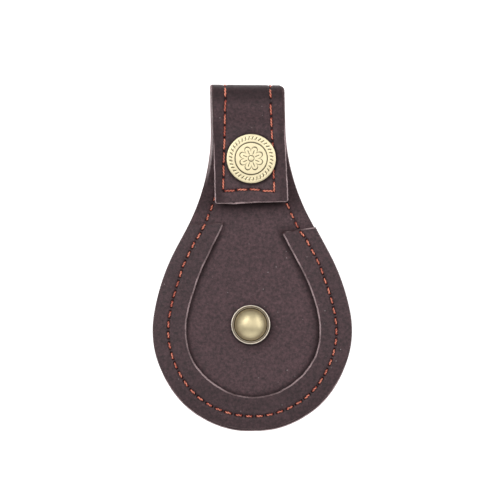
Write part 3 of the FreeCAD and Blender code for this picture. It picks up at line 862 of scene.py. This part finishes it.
def outer_face(x, v):
    """Relief and hole value of the strip's visible face."""
    row_left, row_right = strip_rows(v)
    relief = (0.07 * wave(x, v, 11, 61.0) + 0.03 * wave(x, v, 4, 64.0)) * ease(0, 5, v)
    cap = np.hypot(x - SNAP[0], strip_frame(v)[0] - SNAP[1])
    relief = relief - 0.16 * (1 - ease(9.6, 12.0, cap)) * (v > FOLD_RUN)
    on_fold = ease(FOLD_RUN + 1.5, FOLD_RUN - 2.5, v)
    groove, dip = 0.2 + 0.12 * on_fold, 0.6 - 0.42 * on_fold
    along_row = (x > STRAP_ROW_LEFT - 0.6) & (x < STRAP_ROW_RIGHT + 0.6)
    rows = [
        (v, x - row_left, np.concatenate([LEFT_FOLD_SPANS, LEFT_SPANS]), v < ROW_RUN + 0.8),
        (v, x - row_right, np.concatenate([RIGHT_FOLD_SPANS, RIGHT_SPANS]), v < ROW_RUN + 1.2),
        (x, v - ROW_RUN - row_wander(x), ROW_SPANS, along_row),
    ]
    dent, hole = 0 * x, 0 * x
    for distance, offset, spans, sewn in rows:
        dent = np.maximum(dent, seam_dent(distance, offset, spans, groove, dip) * sewn)
        hole = np.maximum(hole, hole_shade_value(distance, offset, spans) * sewn)
    return relief - dent, hole


def inner_face(x, v):
    """Relief and hole value of the strip's inner face, sewn only past the fold."""
    sewn = (v > FOLD_RUN) & (v < ROW_RUN + 0.8)
    dent, hole = 0 * x, 0 * x
    for row in strip_rows(v):
        dent = np.maximum(dent, seam_dent(v, x - row, INSIDE_SPANS, 0.15, 0.4) * sewn)
        hole = np.maximum(hole, hole_shade_value(v, x - row, INSIDE_SPANS) * sewn)
    return -dent, hole


def strip_pale(x, v):
    """How raw the strip's cut edges look: dyed round the fold, pale down the strap's lower part."""
    neck = np.where(x < 0, ease(9.0, 6.5, v), 0.75 * ease(5.5, 2.5, v))
    begins = FLAT_START + np.where(x < 0, 5, -2)
    low = ease(begins - 5, begins + 6, v) * (0.95 + 0.3 * wave(x, v, 4, 81.0))
    return np.clip(neck + low + 0.05, 0, 1)


def strip_marks(x, y, along):
    """The strip has painted shade over the fold's turn and a painted shadow round the cap, is darker
    down its margins, and is raw at its left edge.
    """
    # Painted shade over the fold's turn.
    fold = 0.6 * ease(5.5, 10.5, along) * ease(FOLD_RUN + 3.5, FOLD_RUN - 1.5, along)
    from_cap = np.hypot(x - SNAP[0] - 0.25, y - SNAP[1] + 0.35)
    # Painted shadow round the cap, offset to its lower right.
    cap_shadow = 0.7 * ease(11.2, 9.9, from_cap) * (along > FOLD_RUN)
    # Darker down the strap's margins.
    margin = 0.5 * ease(-8.5, -12.0, x) + 0.3 * ease(10.5, 13.0, x)
    margin = margin * ease(FOLD_RUN + 6, FOLD_RUN + 14, along)
    raw = ease(-13.9, -14.3, x) * ease(8.6, 7.0, along)
    return {"painted_shade_and_dark_tone": np.maximum(fold + cap_shadow, margin), "raw": raw}


def strip_sheet(name, start, end, low, high, upper_face, lower_face, leather_face, ragged):
    """A closed stretch of one layer of the strip, between two levels of its thickness."""
    is_tip = end == STRIP_RUN
    v = [start]
    while v[-1] < end - 0.2:
        near_detail = abs(v[-1] - ROW_RUN) < 1.8 or v[-1] < start + 0.5 or v[-1] > end - 1.3
        v.append(v[-1] + (0.12 if near_detail else 0.3))
    v = np.array(v + [end])
    along = v[:, None]
    edge = edge_profile(low, high)
    left, right = strip_edges(v)
    tip = np.clip(v - end + STRAP_CORNER, 0, STRAP_CORNER) * is_tip
    corner = STRAP_CORNER - np.sqrt(STRAP_CORNER**2 - tip**2 + 1e-9)
    rough = 0.07 * wave(0 * v, v, 0.9, ragged) + 0.07 * wave(0 * v, v, 5, ragged + 3)
    left, right = left + corner + rough, right - corner - rough
    x = strip_columns(v, EDGE_ROUND + 0.1)
    x = np.clip(x, left[:, None] + EDGE_ROUND + 0.02, right[:, None] - EDGE_ROUND - 0.02)
    bevel = 0.6 * np.clip((along - end + END_BEVEL) / END_BEVEL, 0, 1) ** 1.5 * is_tip
    slack = ease(end - 1.5, end, along) * is_tip

    def bent(x):
        """Distance along. The strap's cut end bows a little, is rough and has one nick."""
        wander = -0.2 * bump_at(x, -1.5, 13) - 0.010 * x + 0.09 * wave(x, 0 * x, 5, ragged)
        wander = wander + 0.06 * wave(x, 0 * x, 0.9, ragged + 7) + 0.4 * bump_at(x, -6.3, 0.45)
        return along + wander * slack

    relief, top_hole = upper_face(x, bent(x))
    top = on_strip(x, bent(x), high - PANEL - bevel + relief)
    relief, bottom_hole = lower_face(x, bent(x))
    bottom = on_strip(x, bent(x), low - PANEL + 0.4 * bevel - relief)
    squeeze = np.clip(edge[:, 1] - PANEL, low - PANEL + 0.4 * bevel, high - PANEL - bevel)
    left_x, right_x = left[:, None] + edge[:, 0], right[:, None] - edge[::-1, 0]
    left_side = on_strip(left_x, bent(left_x), squeeze)
    right_side = on_strip(right_x, bent(right_x), squeeze[:, ::-1])
    sections = np.concatenate([left_side, top, right_side, bottom[:, ::-1]], 1)
    unholed = np.zeros(left_x.shape)
    on_edge = wall_columns(sections.shape[1], len(edge) - 1, 0, len(edge) + x.shape[1])
    kinds = np.tile(on_edge.astype(int), (len(v) - 1, 1))
    if is_tip:
        kinds[v[:-1] > end - 0.75 * END_BEVEL] = 1
    marks = strip_marks(sections[..., 0], sections[..., 1], along)
    marks["hole"] = np.concatenate([unholed, top_hole, unholed, bottom_hole[:, ::-1]], 1)
    marks["pale"] = strip_pale(sections[..., 0], along)
    return loft(name, sections, [leather_face, CUT_EDGE], kinds, 1, **marks)


def make_strip():
    """Both layers of the fold, where the strip turns, and both layers of the strap."""
    outer = (PANEL, 2 * PANEL, outer_face, hidden_face, STRAP, 71.0)
    inner = (0.0, PANEL, hidden_face, inner_face, FLESH, 74.0)
    bend(strip_sheet("fold_skin", 0.0, FOLD_RUN, *outer), "fold_leather")
    bend(strip_sheet("fold_inside", 0.0, FOLD_RUN, *inner), "fold_lining")
    dress(strip_sheet("strap_skin", FOLD_RUN, STRIP_RUN, *outer), "strap", "leather", "strap_leather")
    dress(strip_sheet("strap_inside", FOLD_RUN, STRIP_RUN, *inner), "strap", "leather", "strap_lining")


# --- Thread ---

PLY_RADIUS = 0.22
PLY_OFFSET = 0.20
PLY_PITCH = 2.6
STITCH_DIVE = 0.85


def sew(name, stitches, place, crown=0.20, scale=1.0):
    """Two-ply stitches as one mesh. place(plan, height) puts flat points on the leather."""
    t = np.linspace(0, 1, 17)
    ring = np.linspace(0, 2 * math.pi, 9)[:-1]
    count = len(t) * len(ring)
    tube = grid_faces(len(t), len(ring)).tolist()
    tube += [list(range(len(ring)))[::-1], list(range(count - len(ring), count))]
    points, painted_light_by_height = [], []
    for start, end in stitches:
        span = np.subtract(end, start)
        length = np.linalg.norm(span)
        side = np.array([-span[1], span[0]]) / length
        slant = rng.uniform(-0.16, 0.16)
        bow = rng.uniform(-0.06, 0.06)
        phase = rng.uniform(0, 2 * math.pi)
        wear = rng.uniform(0.82, 1.05)
        lie = slant * (2 * t - 1) + bow * np.sin(math.pi * t)
        height = crown - STITCH_DIVE * np.abs(2 * t - 1) ** 8
        for ply in range(2):
            turn = phase + math.pi * ply + 2 * math.pi * t * length / PLY_PITCH
            across = lie + scale * PLY_OFFSET * np.cos(turn)
            up = height + scale * 0.8 * PLY_OFFSET * np.sin(turn)
            ring_across = across[:, None] + scale * PLY_RADIUS * np.cos(ring)
            ring_up = up[:, None] + scale * PLY_RADIUS * np.sin(ring)
            plan = start + span * t[:, None, None] + side * ring_across[..., None]
            points.append(place(plan, ring_up).reshape(-1, 3))
            # Higher points on the thread get more painted highlight, lower ones more painted shade.
            painted_light_by_height.append(np.clip(wear * (ring_up + 0.3) / (crown + 0.65), 0, 1).ravel())
    firsts = range(0, count * len(points), count)
    faces = [[first + k for k in face] for first in firsts for face in tube]
    obj = add_object(name, np.concatenate(points), faces, [THREAD])
    set_values(obj, "crown", np.concatenate(painted_light_by_height))
    weld(obj)
    return obj


def on_front(plan, height):
    x, y = plan[..., 0], plan[..., 1]
    return np.stack([x, y, np.where(is_on_rim(x, y), RIM_TOP, BODY) - 0.12 + height], -1)


def on_back(plan, height):
    return np.stack([plan[..., 0], plan[..., 1], 0.66 - height], -1)


def on_outside(plan, height):
    """On the strap the thread stands proud; round the fold it is drawn down into its groove."""
    sunk = 0.40 * ease(FOLD_RUN + 1.0, FOLD_RUN - 3.5, plan[..., 1])
    return on_strip(plan[..., 0], plan[..., 1], PANEL - 0.10 - sunk + height)


def on_inside(plan, height):
    return on_strip(plan[..., 0], plan[..., 1], -PANEL + 0.06 - height)


def side_stitches(*rows):
    """Ends in x and distance along the strip for the stitches of its left and right rows."""
    sides = enumerate(rows)
    return [[(strip_rows(v)[side], v) for v in span] for side, spans in sides for span in spans]


def bottom_stitches(spans):
    return [[(x, ROW_RUN + row_wander(x)) for x in span] for span in spans]


def clear_of_cap(stitch):
    """True unless both ends of a stitch lie under the cap."""
    ends = [math.hypot(x - SNAP[0], strip_frame(v)[0] - SNAP[1]) for x, v in stitch]
    return max(ends) > CAP_RADIUS - 0.3


def make_threads():
    front = sew("seam_stitches_front", [on_seam(span) for span in FRONT_SPANS], on_front)
    dress(front, "pad", "thread", "seam_thread_front")
    back = sew("seam_stitches_back", [on_seam(span) for span in BACK_SPANS], on_back, 0.16)
    dress(back, "pad", "thread", "seam_thread_back")
    fold = sew("fold_stitches", side_stitches(LEFT_FOLD_SPANS, RIGHT_FOLD_SPANS), on_outside, scale=1.05)
    bend(fold, "fold_thread")
    outer = [s for s in side_stitches(LEFT_SPANS, RIGHT_SPANS) if clear_of_cap(s)]
    outer = sew("strap_stitches_outer", outer + bottom_stitches(ROW_SPANS), on_outside)
    dress(outer, "strap", "thread", "strap_thread_outer")
    inner = side_stitches(INSIDE_SPANS, INSIDE_SPANS) + bottom_stitches(INSIDE_ROW_SPANS)
    inner = sew("strap_stitches_inner", inner, on_inside, 0.10)
    dress(inner, "strap", "thread", "strap_thread_inner")


# --- Metal ---

CAP_FOOT = CAP_LOW[2]
CAP_FIELD = CAP_FOOT + 1.5
CAP_RING = 6.45
CAP_BEADS = 36
CAP_PETALS = 8


def revolve(name, centre, profile, material, turns, hollow, relief=None):
    """Closed turned piece from (radius, z) points; hollow and relief read radius and angle."""
    radius, z = np.array(profile, float).T
    angle = np.linspace(0, 2 * math.pi, turns, endpoint=False)[:, None]
    r, a = np.broadcast_arrays(radius, angle)
    height = z + (relief(r, a) if relief else 0 * r)
    x, y = centre[0] + r * np.cos(a), centre[1] + r * np.sin(a)
    points = np.stack([x, y, height], -1).reshape(-1, 3)
    obj = add_object(name, points, grid_faces(turns, len(radius), True), [material])
    set_values(obj, "hollow", hollow(r, a, z).ravel())
    weld(obj)
    return obj


def cap_pattern(r, a):
    """Engraved and raised parts of the cap: a ring, a rope border with beads, and a rosette."""
    ring = bump_at(r - CAP_RING, 0, 0.40)
    border = (CAP_RING + CAP_RADIUS) / 2
    pitch = 2 * math.pi / CAP_BEADS
    across = r - border
    from_bead = (a / pitch + 0.5) % 1 - 0.5
    bead = np.hypot(from_bead * pitch * border, across)
    from_strand = (a / pitch + 0.28 * across) % 1 - 0.5
    strand = bump_at(from_strand * pitch * border, 0, 0.30) * (1 - ease(0.55, 0.8, np.abs(across)))
    swing = np.abs(((a * CAP_PETALS / (2 * math.pi)) % 1) - 0.5) * 2
    reach = 2.3 + 2.5 * np.sqrt(np.clip(1 - swing**2, 0, 1))
    petal = bump_at(r - reach, 0, 0.34) * (r > 2.1)
    vein = bump_at(swing * r * math.pi / CAP_PETALS, 0, 0.22)
    vein = vein * ease(1.6, 1.8, r) * (1 - ease(3.4, 3.6, r))
    heart = bump_at(r - 1.15, 0, 0.26)
    dark = np.maximum.reduce([ring, strand, petal, vein, heart])
    raised = 0.10 * (1 - ease(0.15, 0.45, bead)) + 0.08 * (1 - ease(0.4, 1.0, r))
    return dark, raised


def cap_hollow(r, a, z):
    """Patina in the cap's engraving; the top is also darker towards its lower half, and the side darker
    down to the foot.
    """
    dark, raised = cap_pattern(r, a)
    on_top = z > CAP_FIELD - 0.08
    engraved_and_low = dark + 0.12 * ease(0.2, -1.0, np.sin(a)) * r / CAP_RADIUS
    return np.where(on_top, engraved_and_low, ease(CAP_FIELD - 0.08, CAP_FIELD - 0.4, z))


def make_cap():
    field = np.concatenate([np.linspace(0, 5.6, 52), np.linspace(5.75, CAP_RADIUS - 0.55, 52)])
    under = CAP_FIELD - 0.7
    profile = [(r, CAP_FIELD) for r in field]
    profile += arc_points((CAP_RADIUS - 0.5, CAP_FIELD - 0.5), 0.5, 76.5, 0, 7)
    profile += [(CAP_RADIUS, CAP_FOOT + 0.3), (CAP_RADIUS - 0.1, CAP_FOOT + 0.08)]
    profile += [(CAP_RADIUS - 0.3, CAP_FOOT), (CAP_RADIUS - 1.2, CAP_FOOT)]
    profile += [(CAP_RADIUS - 1.2, under), (0, under)]

    def relief(r, a):
        dark, raised = cap_pattern(r, a)
        on_field = np.arange(r.shape[1]) < len(field)
        return (raised - 0.13 * dark) * (r < CAP_RADIUS - 0.3) * on_field

    cap = revolve("snap_cap", SNAP, profile, CAP_BRASS, 720, cap_hollow, relief)
    dress(cap, "strap", "aged_brass", "snap_cap_shell")


def arc_points(centre, radius, start, end, count):
    """(radius, z) points on an arc seen from the side; angles in degrees from outwards."""
    angles = np.radians(np.linspace(start, end, count))
    return [(centre[0] + radius * math.cos(a), centre[1] + radius * math.sin(a)) for a in angles]


def collar_hollow(r, a, z):
    """Patina fills the dish between the lip and the dome; round the foot the collar is darkened as a
    painted contact shadow.
    """
    dish = 0.3 * ease(COLLAR_RADIUS - 0.42, COLLAR_RADIUS - 0.58, r)
    dish = dish + 0.7 * ease(DOME_RADIUS + 0.5, DOME_RADIUS + 0.3, r)
    # Painted contact shadow round the collar's foot.
    foot = ease(BODY + 0.75, BODY + 0.2, z) * (r > COLLAR_RADIUS - 0.3)
    return np.maximum(dish, foot)


def make_collar():
    lip = 0.27
    bore = min(box_mm("stud_tube")[1][0] - STUD[0], 2.5)
    foot, step = BODY - 0.02, COLLAR_HIGH[2] - 0.55
    profile = [(bore, foot), (COLLAR_RADIUS - 0.35, foot), (COLLAR_RADIUS - 0.12, BODY + 0.12)]
    profile += arc_points((COLLAR_RADIUS - lip, COLLAR_HIGH[2] - lip), lip, -15, 175, 18)
    profile += [(COLLAR_RADIUS - 2.1 * lip, step), (DOME_RADIUS + 0.45, step - 0.12)]
    profile += [(DOME_RADIUS + 0.35, BODY + 0.5), (DOME_RADIUS + 0.1, BODY + 0.35), (bore, BODY + 0.3)]
    collar = revolve("stud_collar_dish", STUD, profile, COLLAR_BRASS, 200, collar_hollow)
    dress(collar, "pad", "aged_brass", "stud_collar")


def dome_hollow(r, a, z):
    """Patina round the dome's foot."""
    return 0.6 * ease(DOME_LOW[2] + 0.9, DOME_LOW[2] + 0.1, z) * (r > DOME_RADIUS - 1.2)


def make_dome():
    foot, top, shoulder, wall = DOME_LOW[2], DOME_HIGH[2], 2.6, 0.5
    height, flat = top - foot, DOME_RADIUS - shoulder
    crown = (flat**2 + height**2 - shoulder**2) / (2 * (height - shoulder))
    meet = math.degrees(math.atan2(crown - height, flat))
    profile = arc_points((flat, foot), shoulder, 0, meet, 26)
    profile += arc_points((0, top - crown), crown, meet, 90, 40)[1:]
    profile += [(0, top - wall), (flat * 0.8, top - 2.2 * wall)]
    profile += [(DOME_RADIUS - wall, foot + 1.2), (DOME_RADIUS - wall, foot)]
    dome = revolve("stud_dome_cap", STUD, profile, DOME_BRASS, 200, dome_hollow)
    dress(dome, "pad", "aged_brass", "stud_dome")


def paint(material, *nodes):
    """Gives the CAD pieces that are kept as they are a material."""
    for node in nodes:
        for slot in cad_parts[node].material_slots:
            slot.material = material


make_panels()
make_rim()
make_strip()
make_threads()
make_cap()
make_collar()
make_dome()
paint(REAR_BRASS, "snap_post", "stud_pin", "stud_tube", "snap_cap_post")
paint(SNAP_BRASS, "snap_stud", "snap_socket")
paint(SPRING_STEEL, "snap_spring")


# --- Stage, light and camera ---

CAMERA_HEIGHT = 1700.0
FIELD = 201.0
VIEW_CENTRE = (-0.25, 2.87)
VIEW_ROLL = math.radians(-1.2)


def make_stage():
    half = 1500.0
    corners = [(-half, -half), (half, -half), (half, half), (-half, half)]
    n = Nodes("floor_white")
    n.set(base_color=(0.9, 0.9, 0.9), roughness=0.9)
    n.set(emission_color=(1.0, 1.0, 1.0), emission_strength=0.6)
    floor = add_object("floor", [(x, y, -0.05) for x, y in corners], [(0, 1, 2, 3)], [n.material])


def add_softbox(name, place, size, power):
    """A rectangular light that faces the part."""
    light = bpy.data.lights.new(name, "AREA")
    light.shape = "RECTANGLE"
    light.size, light.size_y = size[0] * MM, size[1] * MM
    light.energy = power
    obj = bpy.data.objects.new(name, light)
    obj.location = Vector(place) * MM
    obj.rotation_euler = (-Vector(place)).to_track_quat("-Z", "Y").to_euler()
    bpy.context.scene.collection.objects.link(obj)


def make_lights():
    world = bpy.data.worlds.new("studio")
    world.use_nodes = True
    background = world.node_tree.nodes["Background"]
    background.inputs["Color"].default_value = (1.0, 1.0, 1.0, 1)
    background.inputs["Strength"].default_value = 0.50
    bpy.context.scene.world = world
    add_softbox("overhead_box", (0, 350, 1700), (2200, 1700), 8.8)
    add_softbox("left_box", (-600, 440, 810), (1300, 320), 4.4)
    add_softbox("right_box", (830, 260, 600), (1300, 320), 3.6)
    add_softbox("south_board", (0, -1000, 420), (1600, 700), 2.4)


def make_camera():
    data = bpy.data.cameras.new("camera")
    data.sensor_width = 36.0
    data.lens = data.sensor_width * CAMERA_HEIGHT / FIELD
    camera = bpy.data.objects.new("camera", data)
    camera.location = Vector((VIEW_CENTRE[0], VIEW_CENTRE[1], CAMERA_HEIGHT)) * MM
    camera.rotation_euler = (0, 0, VIEW_ROLL)
    bpy.context.scene.collection.objects.link(camera)
    bpy.context.scene.camera = camera
    bpy.context.scene.view_settings.view_transform = "Standard"


make_stage()
make_lights()
make_camera()
